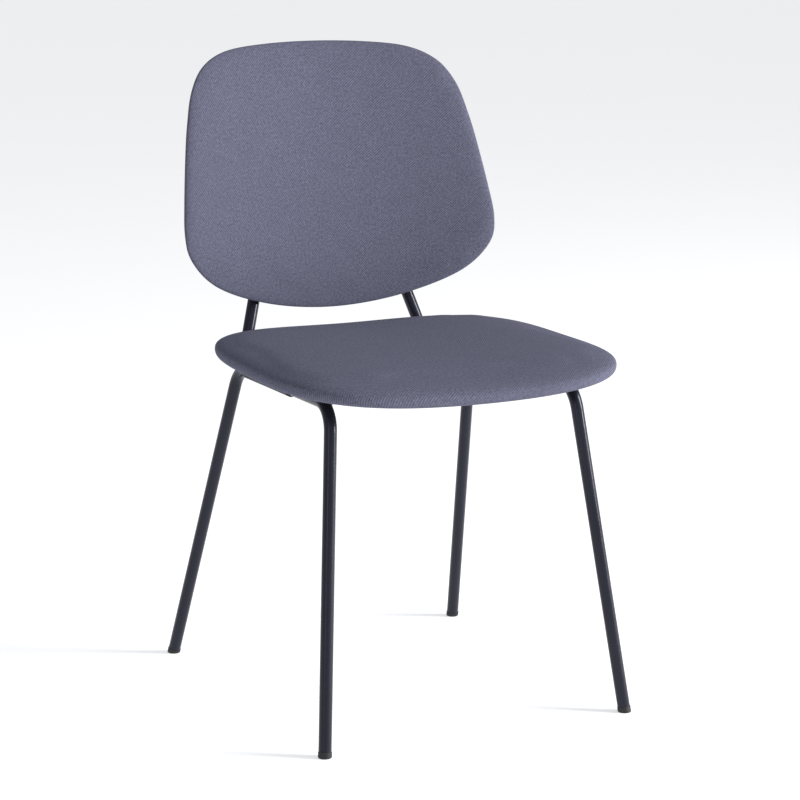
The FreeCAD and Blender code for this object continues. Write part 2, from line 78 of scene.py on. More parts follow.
# %% Floor and lights
floor_mesh = bpy.data.meshes.new("floor")
FLOOR = 90
floor_mesh.from_pydata([(-FLOOR, -FLOOR, 0), (FLOOR, -FLOOR, 0), (FLOOR, FLOOR, 0),
                        (-FLOOR, FLOOR, 0)], [], [(0, 1, 2, 3)])
floor = bpy.data.objects.new("studio_floor", floor_mesh)
scene.collection.objects.link(floor)


def soft_light(name, place, aim, size, power):
    data = bpy.data.lights.new(name, "AREA")
    data.shape = "RECTANGLE"
    data.size, data.size_y = size
    data.energy = power
    light = bpy.data.objects.new(name, data)
    light.location = place
    light.rotation_euler = (Vector(aim) - Vector(place)).to_track_quat("-Z", "Y").to_euler()
    scene.collection.objects.link(light)


soft_light("key", (3.25, -2.15, 1.75), (0, 0, 0.45), (0.9, 2.6), 235)
soft_light("fill", (-2.9, -2.3, 1.2), (0, 0, 0.45), (0.3, 1.8), 9)

world = bpy.data.worlds.new("white studio")
scene.world = world
world.use_nodes = True
sky = world.node_tree
sky.nodes.clear()
seen = sky.nodes.new("ShaderNodeBackground")
seen.inputs["Color"].default_value = (1, 1, 1, 1)
lighting = sky.nodes.new("ShaderNodeBackground")
lighting.inputs["Color"].default_value = (0.93, 0.95, 1, 1)
lighting.inputs["Strength"].default_value = 0.42
rays = sky.nodes.new("ShaderNodeLightPath")
either = sky.nodes.new("ShaderNodeMixShader")
out = sky.nodes.new("ShaderNodeOutputWorld")
sky.links.new(rays.outputs["Is Camera Ray"], either.inputs["Fac"])
sky.links.new(lighting.outputs[0], either.inputs[1])
sky.links.new(seen.outputs[0], either.inputs[2])
sky.links.new(either.outputs[0], out.inputs["Surface"])
scene.view_settings.view_transform = "Standard"
print("a key, a fill and a white studio")

# %% [markdown]
# ## A short way to write nodes
# Node trees can be drawn by hand or written. Written, each node takes one line with a
# helper that makes the node, sets its choices, and either plugs a socket in or sets a
# number. Spaces in socket names are written as underscores.

# %% Node helpers
def add(tree, kind, choices=None, **inputs):
    made = tree.nodes.new("ShaderNode" + kind)
    for name, value in (choices or {}).items():
        setattr(made, name, value)
    for name, value in inputs.items():
        socket = made.inputs[name.replace("_", " ")]
        if isinstance(value, bpy.types.NodeSocket):
            tree.links.new(value, socket)
        else:
            socket.default_value = value
    return made


def maths(tree, operation, *values, clamp=False):
    made = tree.nodes.new("ShaderNodeMath")
    made.operation = operation
    made.use_clamp = clamp
    for socket, value in zip(made.inputs, values):
        if isinstance(value, bpy.types.NodeSocket):
            tree.links.new(value, socket)
        else:
            socket.default_value = value
    return made.outputs[0]


def spread(tree, value, low, high, to_low=0.0, to_high=1.0):
    return add(tree, "MapRange", Value=value, From_Min=low, From_Max=high,
               To_Min=to_low, To_Max=to_high).outputs["Result"]


def blend_colors(tree, share, first, second):
    made = tree.nodes.new("ShaderNodeMix")
    made.data_type = "RGBA"
    for index, value in ((0, share), (6, first), (7, second)):
        if isinstance(value, bpy.types.NodeSocket):
            tree.links.new(value, made.inputs[index])
        else:
            made.inputs[index].default_value = value
    return made.outputs[2]


def noise(tree, place, scale, detail=2.0, roughness=0.5):
    return add(tree, "TexNoise", Vector=place, Scale=scale, Detail=detail,
               Roughness=roughness).outputs["Fac"]


def new_group(name, inputs, outputs):
    """A node group with named sockets, and its input and output nodes."""
    tree = bpy.data.node_groups.new(name, "ShaderNodeTree")
    for socket, kind, value in inputs:
        made = tree.interface.new_socket(socket, in_out="INPUT", socket_type=kind)
        if value is not None:
            made.default_value = value
    for socket, kind in outputs:
        tree.interface.new_socket(socket, in_out="OUTPUT", socket_type=kind)
    return tree, tree.nodes.new("NodeGroupInput").outputs, tree.nodes.new("NodeGroupOutput").inputs


def use_group(tree, group, **inputs):
    made = tree.nodes.new("ShaderNodeGroup")
    made.node_tree = group
    for name, value in inputs.items():
        socket = made.inputs[name.replace("_", " ")]
        if isinstance(value, bpy.types.NodeSocket):
            tree.links.new(value, socket)
        else:
            socket.default_value = value
    return made.outputs


def new_material(name, viewport, **constants):
    """A material with a Principled shader, whose constant values are set on its sockets."""
    material = bpy.data.materials.new(name)
    material.diffuse_color = (*viewport, 1)
    material.use_nodes = True
    tree = material.node_tree
    shader = tree.nodes["Principled BSDF"]
    for socket, value in constants.items():
        shader.inputs[socket.replace("_", " ")].default_value = value
    return material, tree, shader


print("node helpers ready")

# %% [markdown]
# ## Shared effect: fine grain
# Powder coat, moulded plastic and blacked steel are never mirror flat. Each has a skin of
# tiny bumps at its own scale. One group serves them all: it mixes two sizes of noise into a
# height for a Bump node, and a slow drift for roughness.

# %% Fine grain group
grain, given, result = new_group(
    "fine grain", [("Grain Size", "NodeSocketFloat", 0.001)],
    [("Height", "NodeSocketFloat"), ("Drift", "NodeSocketFloat")])
place = add(grain, "TexCoord").outputs["Object"]
scale = maths(grain, "DIVIDE", 1.0, given["Grain Size"])
coarse = noise(grain, place, scale, 2.0)
fine = noise(grain, place, maths(grain, "MULTIPLY", scale, 3.1), 1.0)
height = maths(grain, "ADD", maths(grain, "MULTIPLY", coarse, 0.75),
               maths(grain, "MULTIPLY", fine, 0.25))
grain.links.new(height, result["Height"])
grain.links.new(noise(grain, place, 14.0, 3.0), result["Drift"])
print("group:", grain.name)

# %% [markdown]
# ## Shared effect: edge wear and dust
# Paint rubs thin where hands, floors and other chairs touch it: on edges. A Bevel node
# gives the normal as if the edge were rounded, and where that differs from the true normal
# there is an edge nearby. Dust settles where a surface looks up, in uneven patches.

# %% Edge wear group
wear, given, result = new_group(
    "edge wear", [("Width", "NodeSocketFloat", 0.001), ("Breakup", "NodeSocketFloat", 90.0)],
    [("Mask", "NodeSocketFloat")])
rounded = add(wear, "Bevel", {"samples": 4}, Radius=given["Width"]).outputs["Normal"]
true_normal = add(wear, "NewGeometry").outputs["Normal"]
facing = add(wear, "VectorMath", {"operation": "DOT_PRODUCT"})
wear.links.new(rounded, facing.inputs[0])
wear.links.new(true_normal, facing.inputs[1])
edge = spread(wear, facing.outputs["Value"], 0.995, 0.9)
patchy = spread(wear, noise(wear, add(wear, "TexCoord").outputs["Object"],
                            given["Breakup"], 4.0), 0.45, 0.7)
wear.links.new(maths(wear, "MULTIPLY", edge, patchy, clamp=True), result["Mask"])

# %% Dust group
dust, given, result = new_group(
    "dust", [("Amount", "NodeSocketFloat", 0.1)], [("Mask", "NodeSocketFloat")])
up = add(dust, "SeparateXYZ", Vector=add(dust, "NewGeometry").outputs["Normal"]).outputs["Z"]
cloudy = noise(dust, add(dust, "TexCoord").outputs["Object"], 23.0, 6.0, 0.65)
settled = maths(dust, "MULTIPLY", spread(dust, up, 0.2, 1.0), spread(dust, cloudy, 0.3, 0.75))
dust.links.new(maths(dust, "MULTIPLY", settled, given["Amount"], clamp=True), result["Mask"])
print("groups:", wear.name, "and", dust.name)

# %% [markdown]
# ## Shared effect: twill weave
# The cover is a twill: each row of yarn floats shift by one against the last, which draws
# slanting ribs about 2.4 mm apart. The group reads where the cloth is, in metres across and
# along it, from an attribute that the covers carry, so that the ribs follow the cloth over
# an edge and don't slide through it. A wave across the ribs gives their height, a finer
# wave cuts them into single floats, and noise bends both, because yarn is never even.

# %% Twill group
twill, given, result = new_group(
    "twill weave",
    [("Cloth Place", "NodeSocketVector", None), ("Rib Pitch", "NodeSocketFloat", 0.0024),
     ("Lean", "NodeSocketFloat", 1.0)],
    [("Height", "NodeSocketFloat"), ("Yarn", "NodeSocketFloat"),
     ("Mottle", "NodeSocketFloat")])
spot = given["Cloth Place"]
wander = add(twill, "VectorMath", {"operation": "SCALE"}, Scale=0.0011)
bends = add(twill, "TexNoise", Vector=spot, Scale=130.0, Detail=2.0).outputs["Color"]
twill.links.new(bends, wander.inputs[0])
bent = add(twill, "VectorMath", {"operation": "ADD"})
twill.links.new(spot, bent.inputs[0])
twill.links.new(wander.outputs[0], bent.inputs[1])
across = add(twill, "SeparateXYZ", Vector=bent.outputs[0]).outputs
turns = maths(twill, "DIVIDE", 2 * math.pi, given["Rib Pitch"])
slant = maths(twill, "ADD", maths(twill, "MULTIPLY", across["X"], given["Lean"]), across["Y"])
rib = maths(twill, "SINE", maths(twill, "MULTIPLY", maths(twill, "MULTIPLY", slant, turns),
                                 0.7071))
float_wave = maths(twill, "SINE", maths(twill, "MULTIPLY", across["X"],
                                        maths(twill, "MULTIPLY", turns, 1.9)))
rib_up = spread(twill, rib, -1.0, 1.0)
float_up = spread(twill, float_wave, -1.0, 1.0)
weave_height = maths(twill, "ADD", maths(twill, "MULTIPLY", rib_up, 0.72),
                     maths(twill, "MULTIPLY", float_up, 0.28))
twill.links.new(weave_height, result["Height"])
fibres = noise(twill, spot, 900.0, 3.0, 0.7)
twill.links.new(fibres, result["Yarn"])
blotches = maths(twill, "ADD", maths(twill, "MULTIPLY", noise(twill, spot, 34.0, 3.0, 0.6), 0.12),
                 maths(twill, "MULTIPLY", noise(twill, spot, 300.0, 3.0, 0.7), 0.88))
twill.links.new(blotches, result["Mottle"])
print("group:", twill.name)

# %% [markdown]
# ## Material: upholstery cloth
# A blue-grey mixed-yarn cloth: yarns a little lighter and darker lie side by side, and fuzz
# on the surface catches light at a low angle. A trace of sheen on the Principled shader gives
# that soft rim: more of it would grey the face of the seat. The colour also carries painted
# shade: it is darker in the grooves between the twill ribs and lighter on their tops.
# The ribs lean one way on the seat and the other way on the back, as they were cut.

# %% Upholstery
def upholstery(name, lean, tint=1.0):
    material, tree, shader = new_material(
        name, (0.15, 0.155, 0.21), Roughness=0.95, Specular_IOR_Level=0.12,
        Sheen_Weight=0.04, Sheen_Roughness=0.5, Sheen_Tint=(0.8, 0.83, 1.0, 1))
    where = add(tree, "Attribute", {"attribute_name": "cloth"}).outputs["Vector"]
    weave = use_group(tree, twill, Cloth_Place=where, Rib_Pitch=0.0024, Lean=lean)
    dark = tuple(tint * c for c in (0.040, 0.041, 0.062)) + (1,)
    light = tuple(tint * c for c in (0.182, 0.184, 0.258)) + (1,)
    # Painted shade: the colour follows the weave's height, darker in the grooves between ribs and
    # lighter on their tops, mixed with the real lighter and darker yarns.
    groove_shade = maths(tree, "MULTIPLY", weave["Height"], 0.5)
    yarn_mix_and_groove_shade = maths(tree, "ADD", groove_shade, maths(tree, "MULTIPLY", weave["Yarn"], 0.5))
    base = blend_colors(tree, yarn_mix_and_groove_shade, dark, light)
    patches = spread(tree, weave["Mottle"], 0.36, 0.64, 0.76, 1.20)
    tone = add(tree, "VectorMath", {"operation": "SCALE"}, Scale=patches)
    tree.links.new(base, tone.inputs[0])
    tree.links.new(tone.outputs[0], shader.inputs["Base Color"])
    relief = add(tree, "Bump", Height=weave["Height"], Strength=0.55, Distance=0.0004)
    tree.links.new(relief.outputs["Normal"], shader.inputs["Normal"])
    return material


cloth_seat = upholstery("upholstery_seat", -1.0)
cloth_back = upholstery("upholstery_back", -1.0)
cloth_rear = upholstery("upholstery_rear", 1.0)
print("cloth:", cloth_seat.name, cloth_back.name, cloth_rear.name)

# %% [markdown]
# ## Materials: coated steel and black plastic
# Powder coat is a baked plastic paint: satin, with faint orange peel. The moulded parts are
# duller, with a fine spark-eroded grain. Both take edge wear and a trace of dust.

# %% Coated and moulded finishes
def skin(name, color, worn_color, roughness, grain_size, depth, wear_width, dusty,
         **constants):
    material, tree, shader = new_material(name, color, **constants)
    bumps = use_group(tree, grain, Grain_Size=grain_size)
    worn = use_group(tree, wear, Width=wear_width)["Mask"]
    dusted = use_group(tree, dust, Amount=dusty)["Mask"]
    varied = blend_colors(tree, spread(tree, bumps["Drift"], 0.35, 0.65), (*color, 1),
                          (*[c * 1.12 for c in color], 1))
    rubbed = blend_colors(tree, maths(tree, "MULTIPLY", worn, 0.55), varied, (*worn_color, 1))
    powdered = blend_colors(tree, dusted, rubbed, (0.42, 0.41, 0.39, 1))
    tree.links.new(powdered, shader.inputs["Base Color"])
    drift = spread(tree, bumps["Drift"], 0.3, 0.7, roughness - 0.04, roughness + 0.05)
    dulled = maths(tree, "ADD", drift, maths(tree, "MULTIPLY", dusted, 0.5), clamp=True)
    tree.links.new(dulled, shader.inputs["Roughness"])
    relief = add(tree, "Bump", Height=bumps["Height"], Strength=0.5, Distance=depth)
    tree.links.new(relief.outputs["Normal"], shader.inputs["Normal"])
    return material


powder_coat = skin("powder_coat", (0.013, 0.0133, 0.021), (0.07, 0.07, 0.085), 0.24,
                   0.0011, 0.0001, 0.0006, 0.02, Specular_IOR_Level=0.3,
                   Specular_Tint=(0.85, 0.87, 1.0, 1))
black_plastic = skin("black_plastic", (0.012, 0.012, 0.013), (0.05, 0.05, 0.052), 0.55,
                     0.0006, 0.0001, 0.0007, 0.08, Specular_IOR_Level=0.45)
black_bolt = skin("black_bolt", (0.015, 0.015, 0.016), (0.22, 0.21, 0.2), 0.4,
                  0.0005, 0.00005, 0.0005, 0.05, Specular_IOR_Level=0.6, Metallic=0.35)
print("coated:", powder_coat.name, black_plastic.name, black_bolt.name)

# %% [markdown]
# ## Materials under the seat
# Non-woven dust cloth is a felt of fine fibres pressed in a small dot pattern, and its colour
# is painted darker in the pressed dots as painted shade. Foam is full of tiny cells, and its
# colour is painted darker in their hollows as painted shade. Birch plywood shows long grain
# on its faces and thin plies on its edge: a wave in the board's thickness gives the plies.
# Zinc plate has a faint crystal spangle with a warm and a cool tone, and staple wire is
# drawn steel.

# %% Dust cloth and foam
def dust_cloth():
    material, tree, shader = new_material("dust_cloth", (0.02, 0.02, 0.02), Roughness=0.93,
                                          Specular_IOR_Level=0.2, Sheen_Weight=0.2)
    where = add(tree, "TexCoord").outputs["Object"]
    dots = add(tree, "TexVoronoi", {"voronoi_dimensions": "2D"}, Vector=where, Scale=600.0,
               Randomness=0.1).outputs["Distance"]
    felt = noise(tree, where, 700.0, 4.0, 0.7)
    pressed = spread(tree, dots, 0.1, 0.45)
    height = maths(tree, "ADD", maths(tree, "MULTIPLY", pressed, 0.6),
                   maths(tree, "MULTIPLY", felt, 0.4))
    # Painted shade: the colour is darker in the pressed dots; the felt noise adds tone that differs
    # at random.
    tone = blend_colors(tree, height, (0.008, 0.008, 0.009, 1), (0.024, 0.024, 0.026, 1))
    tree.links.new(tone, shader.inputs["Base Color"])
    relief = add(tree, "Bump", Height=height, Strength=0.5, Distance=0.0003)
    tree.links.new(relief.outputs["Normal"], shader.inputs["Normal"])
    return material


def foam():
    material, tree, shader = new_material("cut_foam", (0.7, 0.62, 0.4), Roughness=0.95,
                                          Specular_IOR_Level=0.15)
    where = add(tree, "TexCoord").outputs["Object"]
    cells = add(tree, "TexVoronoi", Vector=where, Scale=900.0).outputs["Distance"]
    aged = noise(tree, where, 12.0, 3.0)
    tone = blend_colors(tree, spread(tree, aged, 0.35, 0.65), (0.70, 0.63, 0.43, 1),
                        (0.62, 0.52, 0.31, 1))
    # Painted shade: the colour is darker in the hollow of each foam cell.
    pore_shaded = blend_colors(tree, spread(tree, cells, 0.0, 0.5), (0.42, 0.35, 0.2, 1), tone)
    tree.links.new(pore_shaded, shader.inputs["Base Color"])
    relief = add(tree, "Bump", Height=cells, Strength=0.6, Distance=0.0005)
    tree.links.new(relief.outputs["Normal"], shader.inputs["Normal"])
    return material


dust_fabric, foam_pad = dust_cloth(), foam()
print("soft finishes:", dust_fabric.name, foam_pad.name)

# %% Plywood, zinc and wire
def plywood():
    material, tree, shader = new_material("birch_plywood", (0.62, 0.45, 0.28),
                                          Roughness=0.62, Specular_IOR_Level=0.3)
    where = add(tree, "TexCoord").outputs["Object"]
    drawn = add(tree, "Mapping", Vector=where, Scale=(1.0, 12.0, 12.0)).outputs["Vector"]
    rings = noise(tree, drawn, 24.0, 5.0, 0.6)
    pores = noise(tree, drawn, 260.0, 2.0)
    plies = maths(tree, "SINE", maths(tree, "MULTIPLY", add(tree, "SeparateXYZ",
                  Vector=where).outputs["Z"], 2 * math.pi / 0.0029))
    tone = blend_colors(tree, spread(tree, rings, 0.35, 0.68), (0.66, 0.50, 0.32, 1),
                        (0.50, 0.33, 0.18, 1))
    streaked = blend_colors(tree, spread(tree, pores, 0.55, 0.8, 0.0, 0.5), tone,
                            (0.33, 0.2, 0.1, 1))
    banded = blend_colors(tree, spread(tree, plies, 0.2, 1.0, 0.0, 0.25), streaked,
                          (0.3, 0.18, 0.09, 1))
    tree.links.new(banded, shader.inputs["Base Color"])
    relief = add(tree, "Bump", Height=rings, Strength=0.3, Distance=0.0002)
    tree.links.new(relief.outputs["Normal"], shader.inputs["Normal"])
    return material


def plated(name, cool, warm, roughness, flake):
    material, tree, shader = new_material(name, cool, Metallic=1.0)
    where = add(tree, "TexCoord").outputs["Object"]
    spangle = add(tree, "TexVoronoi", Vector=where, Scale=flake).outputs["Color"]
    share = add(tree, "SeparateXYZ", Vector=spangle).outputs["X"]
    tree.links.new(blend_colors(tree, share, (*cool, 1), (*warm, 1)),
                   shader.inputs["Base Color"])
    tree.links.new(spread(tree, share, 0.0, 1.0, roughness - 0.06, roughness + 0.08),
                   shader.inputs["Roughness"])
    scratches = add(tree, "Mapping", Vector=where, Scale=(1.0, 9.0, 3.0)).outputs["Vector"]
    relief = add(tree, "Bump", Height=noise(tree, scratches, 500.0, 2.0), Strength=0.3,
                 Distance=0.00005)
    tree.links.new(relief.outputs["Normal"], shader.inputs["Normal"])
    return material


board = plywood()
zinc_plate = plated("zinc_plate", (0.55, 0.58, 0.62), (0.66, 0.62, 0.52), 0.38, 500.0)
staple_wire = plated("staple_wire", (0.62, 0.62, 0.62), (0.5, 0.5, 0.5), 0.3, 900.0)
print("hard finishes:", board.name, zinc_plate.name, staple_wire.name)

# %% [markdown]
# ## Finishes on the CAD pieces
# The steel, the plastic and the fasteners keep their CAD shapes, which are exact. Only the
# material in each object's slot changes. The table goes by the start of a name, so one line
# serves both side frames or all four glides.

# %% Give the CAD pieces their finishes
FINISHES = {
    "side_frame": powder_coat, "back_upright": powder_coat, "front_cross_bar": powder_coat,
    "rear_cross_bar": powder_coat, "foot_glide": black_plastic,
    "stacking_buffer": black_plastic, "upright_plug": black_plastic,
    "seat_spacers": black_plastic, "back_spacers": black_plastic,
    "back_saddle_washers": black_plastic, "seat_plywood": board, "back_plywood": board,
    "seat_tee_nuts": zinc_plate, "back_tee_nuts": zinc_plate, "seat_staples": staple_wire,
    "seat_bolts": black_bolt, "back_bolts": black_bolt,
}
finished = 0
for name, node in nodes.items():
    for start, material in FINISHES.items():
        if name.startswith(start):
            node.data.materials.clear()
            node.data.materials.append(material)
            finished += 1
print(finished, "CAD pieces finished")

# %% [markdown]
# ## A cloth-covered form
# A cover is one cloth drawn over a padded board. As a mesh it is best made of quads that
# run with the cloth: a square grid on the face, whose rings grow denser towards the edge
# where the form turns, then rings down the side and under. Each point is given by a
# direction from the middle and a share of the way: 0 is the middle of the face, 1 the
# widest line, and up to 2 is the way back in underneath. The same function that places a
# point also measures how much cloth lies between it and the middle, which is the place on
# the cloth that the weave reads.

# %% Grid over a form
def square_rings(half, beyond):
    """Directions and shares for a square grid, then rings beyond the edge, and quads."""
    steps = np.arange(-half, half + 1)
    a, b = [grid.ravel() for grid in np.meshgrid(steps, steps, indexing="ij")]
    ring = np.maximum(abs(a), abs(b))
    outward = 1 - (1 - ring / half) ** 1.6
    direction = np.stack([a, b], 1) / np.maximum(ring, 1)[:, None]
    side = 2 * half + 1
    quads = [(i * side + j, (i + 1) * side + j, (i + 1) * side + j + 1, i * side + j + 1)
             for i in range(side - 1) for j in range(side - 1)]
    along = list(range(side))
    edge = ([i * side for i in along[:-1]] + [(side - 1) * side + j for j in along[:-1]]
            + [i * side + side - 1 for i in along[:0:-1]] + along[:0:-1])
    directions, shares, last = [direction], [outward], edge
    count = len(direction)
    for share in beyond:
        directions.append(direction[edge])
        shares.append(np.full(len(edge), share))
        now = list(range(count, count + len(edge)))
        count += len(edge)
        for k in range(len(edge)):
            n = (k + 1) % len(edge)
            quads.append((last[k], now[k], now[n], last[n]))
        last = now
    return np.concatenate(directions), np.concatenate(shares), quads


def cloth_places(form, direction, share, steps=28):
    """Distance over the form from its middle to each point, in its direction."""
    walked = np.zeros(len(share))
    before = form(direction, np.zeros(len(share)))
    for k in range(1, steps + 1):
        now = form(direction, share * k / steps)
        walked += np.linalg.norm(now - before, axis=1)
        before = now
    return walked


def draped_mesh(name, form, plan, half, beyond, material):
    """The mesh of one cloth over a form, with its place on the cloth stored as it lies."""
    direction, share, quads = square_rings(half, beyond)
    mesh = bpy.data.meshes.new(name)
    mesh.from_pydata(form(direction, share).tolist(), [], quads)
    heading = plan(direction)
    heading = heading / np.maximum(np.linalg.norm(heading, axis=1), 1e-9)[:, None]
    walked = cloth_places(form, direction, share)
    flat = np.zeros((len(share), 3), np.float32)
    flat[:, :2] = heading * walked[:, None]
    layer = mesh.attributes.new("cloth", "FLOAT_VECTOR", "POINT")
    layer.data.foreach_set("vector", flat.ravel())
    mesh.polygons.foreach_set("use_smooth", [True] * len(mesh.polygons))
    mesh.materials.append(material)
    piece = bpy.data.objects.new(name, mesh)
    scene.collection.objects.link(piece)
    outward = bmesh.new()
    outward.from_mesh(mesh)
    bmesh.ops.recalc_face_normals(outward, faces=outward.faces)
    outward.to_mesh(mesh)
    outward.free()
    print(name, len(mesh.vertices), "points, cloth reach", round(float(walked.max()), 3), "m")
    return piece


def thicken(piece, thickness, levels=1):
    """Gives a cloth its thickness, inwards from the face that shows."""
    if levels:
        piece.modifiers.new("smooth", "SUBSURF").render_levels = levels
        piece.modifiers["smooth"].levels = levels
    solid = piece.modifiers.new("thickness", "SOLIDIFY")
    solid.thickness = thickness
    solid.offset = -1


# %% [markdown]
# ## Seat form
# The seat's outline is a rounded rectangle whose front corners are squarer than the rear
# ones. Its rim rises at the sides and dips at the front, so the sitter's legs don't press
# on an edge. The face is a low dome: full in the middle, and rolling over ever faster
# towards the rim. Underneath, the cloth wraps the plywood's edge in a tight roll.

# %% Seat form
seat_low, seat_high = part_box("seat_cover")
SEAT_MIDDLE = (seat_low.y + seat_high.y) / 2
SEAT_HALF_FRONT, SEAT_HALF_REAR, SEAT_HALF_DEPTH = 0.2355, 0.2235, 0.2165
SEAT_CROWN, SEAT_UNDERSIDE, SEAT_ROLL = 0.0258, 0.0105, 0.0145
CLOTH = 0.0015


def seat_rim(x, y):
    across, along = x / SEAT_HALF_FRONT, (y - SEAT_MIDDLE) / SEAT_HALF_DEPTH
    return (0.430 + 0.0149 * across ** 2 + 0.00435 * along + 0.0034 * along ** 2
            + 0.0036 * along ** 3)


def seat_plan(direction, inner=1.0, inset=0.0):
    """Place in plan of a point a share of the way out to the outline."""
    a, b = direction[:, 0], direction[:, 1]
    power = np.where(b < 0, 3.8, 3.2)
    size = np.maximum(abs(a) ** power + abs(b) ** power, 1e-9) ** (-1 / power)
    along = b * size * inner
    half = (SEAT_HALF_FRONT + SEAT_HALF_REAR) / 2 - inset
    half = half - (SEAT_HALF_FRONT - SEAT_HALF_REAR) / 2 * along
    return np.stack([half * a * size * inner,
                     SEAT_MIDDLE + (SEAT_HALF_DEPTH - inset) * along], 1)


def seat_form(direction, share, inset=0.0):
    """Point on the cushion's skin, or on a skin drawn in by inset."""
    inner = np.minimum(share, 2 - share)
    x, y = seat_plan(direction, inner, inset).T
    from_rim = (1 - inner) * SEAT_HALF_DEPTH
    face = (SEAT_CROWN - inset) * np.maximum(1 - inner ** 2.5, 0) ** (1 / 2.5)
    roll = np.maximum(1 - from_rim / SEAT_ROLL, 0)
    under = (inset - SEAT_UNDERSIDE) * (1 - roll ** 2.6) ** (1 / 2.6)
    corner = np.clip((abs(direction[:, 0] * direction[:, 1]) - 0.55) / 0.3, 0, 1)
    turned = np.clip((from_rim - 0.012) / 0.008, 0, 1)
    angle = np.arctan2(direction[:, 1], direction[:, 0])
    pleats = 0.0007 * corner * turned * (np.abs(np.sin(angle * 34)) - 1) * (share > 1)
    z = seat_rim(x, y) + np.where(share <= 1, face, under) - pleats * (inset == 0)
    return np.stack([x, y, z], 1)


print("seat middle at y", round(SEAT_MIDDLE, 4))

# %% [markdown]
# ## Letting cloth settle
# A form from a formula is too perfect. Blender's Cloth, run for a few frames with the hem
# held and a little air pressure inside, pulls the cover tight and finds the small
# unevenness of a hand-stretched cover. The form starts slightly slack. Foam lies right
# under the cloth, so a point keeps only its travel in or out, a little way in and no further
# out than a cap. What is kept is evened out over neighbouring points. The result is written
# into the mesh, so no simulation remains. A cushion that can't move needs no gravity.

# %% Settle a cover with a short cloth simulation
FOAM_GIVES = 0.0005


def even_out(mesh, values, rounds=14):
    """Averages a value over each point and its neighbours, so that caps leave no steps."""
    ends = np.empty(len(mesh.edges) * 2, np.int32)
    mesh.edges.foreach_get("vertices", ends)
    a, b = ends.reshape(-1, 2).T
    count = np.bincount(a, minlength=len(values)) + np.bincount(b, minlength=len(values))
    for _ in range(rounds):
        near = (np.bincount(a, values[b], len(values)) + np.bincount(b, values[a], len(values)))
        values = (values + near / np.maximum(count, 1)) / 2
    return values


def settle(piece, held, pressure=4.0, cap=0.004, frames=20, shrink=-0.004):
    """Runs cloth on a piece whose held points are pinned, and keeps the capped result."""
    mesh = piece.data
    before = np.empty(len(mesh.vertices) * 3, np.float32)
    mesh.vertices.foreach_get("co", before)
    before = before.reshape(-1, 3)
    pins = piece.vertex_groups.new(name="held")
    pins.add([int(i) for i in np.flatnonzero(held)], 1.0, "REPLACE")
    cloth = piece.modifiers.new("settle", "CLOTH")
    cloth.settings.quality = 4
    cloth.settings.mass = 0.3
    cloth.settings.tension_stiffness = cloth.settings.compression_stiffness = 25
    cloth.settings.bending_stiffness = 1.5
    cloth.settings.shrink_min = shrink
    cloth.settings.use_pressure = True
    cloth.settings.uniform_pressure_force = pressure
    cloth.settings.vertex_group_mass = "held"
    cloth.settings.effector_weights.gravity = 0
    cloth.collision_settings.use_collision = False
    cloth.point_cache.frame_start, cloth.point_cache.frame_end = 1, frames
    for frame_number in range(1, frames + 1):
        scene.frame_set(frame_number)
    evaluated = piece.evaluated_get(bpy.context.evaluated_depsgraph_get())
    after = np.empty(len(mesh.vertices) * 3, np.float32)
    evaluated.data.vertices.foreach_get("co", after)
    travel = after.reshape(-1, 3) - before
    normal = np.empty(len(mesh.vertices) * 3, np.float32)
    mesh.vertex_normals.foreach_get("vector", normal)
    normal = normal.reshape(-1, 3)
    outward = np.sum(travel * normal, axis=1)
    print(piece.name, "moves out by", (np.percentile(outward, (1, 50, 99)) * 1000).round(2), "mm")
    outward = even_out(mesh, np.clip(outward, -FOAM_GIVES, cap) * ~held)
    piece.modifiers.remove(cloth)
    piece.vertex_groups.remove(pins)
    settled = before + normal * outward[:, None]
    mesh.vertices.foreach_set("co", settled.astype(np.float32).ravel())
    mesh.update()
    scene.frame_set(1)


# %% Seat cover
SIDE_RINGS = [1 + 0.0145 / SEAT_HALF_DEPTH * (k / 9) ** 1.8 for k in range(1, 10)]
HEM_RINGS = [1 + d / SEAT_HALF_DEPTH for d in (0.018, 0.0215, 0.025, 0.0285, 0.031, 0.034)]
seat_rings = SIDE_RINGS + HEM_RINGS
seat_cushion = draped_mesh("seat_cushion_cover", seat_form, seat_plan, 56, seat_rings,
                           cloth_seat)
_, seat_shares, _ = square_rings(56, seat_rings)
settle(seat_cushion, seat_shares >= 1.0, pressure=8.0, cap=0.0016)
thicken(seat_cushion, 0.0012)
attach(seat_cushion, "root")
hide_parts("seat_cover")

# %% [markdown]
# ## Seat foam
# Under the cover lies a moulded foam pad on the plywood. It shows only in a section or
# where a cover is lifted, but a stranger who reuses this chair may do just that. It takes
# the same form, drawn in by the cloth's thickness, and stops at the board.

# %% Seat foam
def seat_pad_form(direction, share):
    point = seat_form(direction, share, inset=CLOTH + 0.0004)
    floor_of_pad = seat_rim(point[:, 0], point[:, 1]) - 0.0085
    point[:, 2] = np.where(share > 1, np.maximum(point[:, 2], floor_of_pad), point[:, 2])
    return point


seat_pad = draped_mesh("seat_foam_pad", seat_pad_form, seat_plan, 40,
                       [1.004, 1.012, 1.024, 1.04, 1.07], foam_pad)
thicken(seat_pad, 0.004)
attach(seat_pad, "root")
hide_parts("seat_foam")

# %% [markdown]
# ## Dust cloth
# A thin non-woven sheet closes the underside and hides the plywood and the hem. It is cut
# about 20 mm short of the seat's edge, pulled flat and stapled, so it hangs a hair between
# the staples, and it has four round holes where the spacers pass. The sheet's flat size is
# its own outline, because nothing stretches it.

# %% Dust cloth
DUST_INSET, DUST_GAP = 0.020, 0.0011
HOLE = 0.0100
spacer_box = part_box("seat_spacers")
hole_places = [(x, y) for x in (spacer_box[0].x + 0.009, spacer_box[1].x - 0.009)
               for y in (spacer_box[0].y + 0.009, spacer_box[1].y - 0.009)]


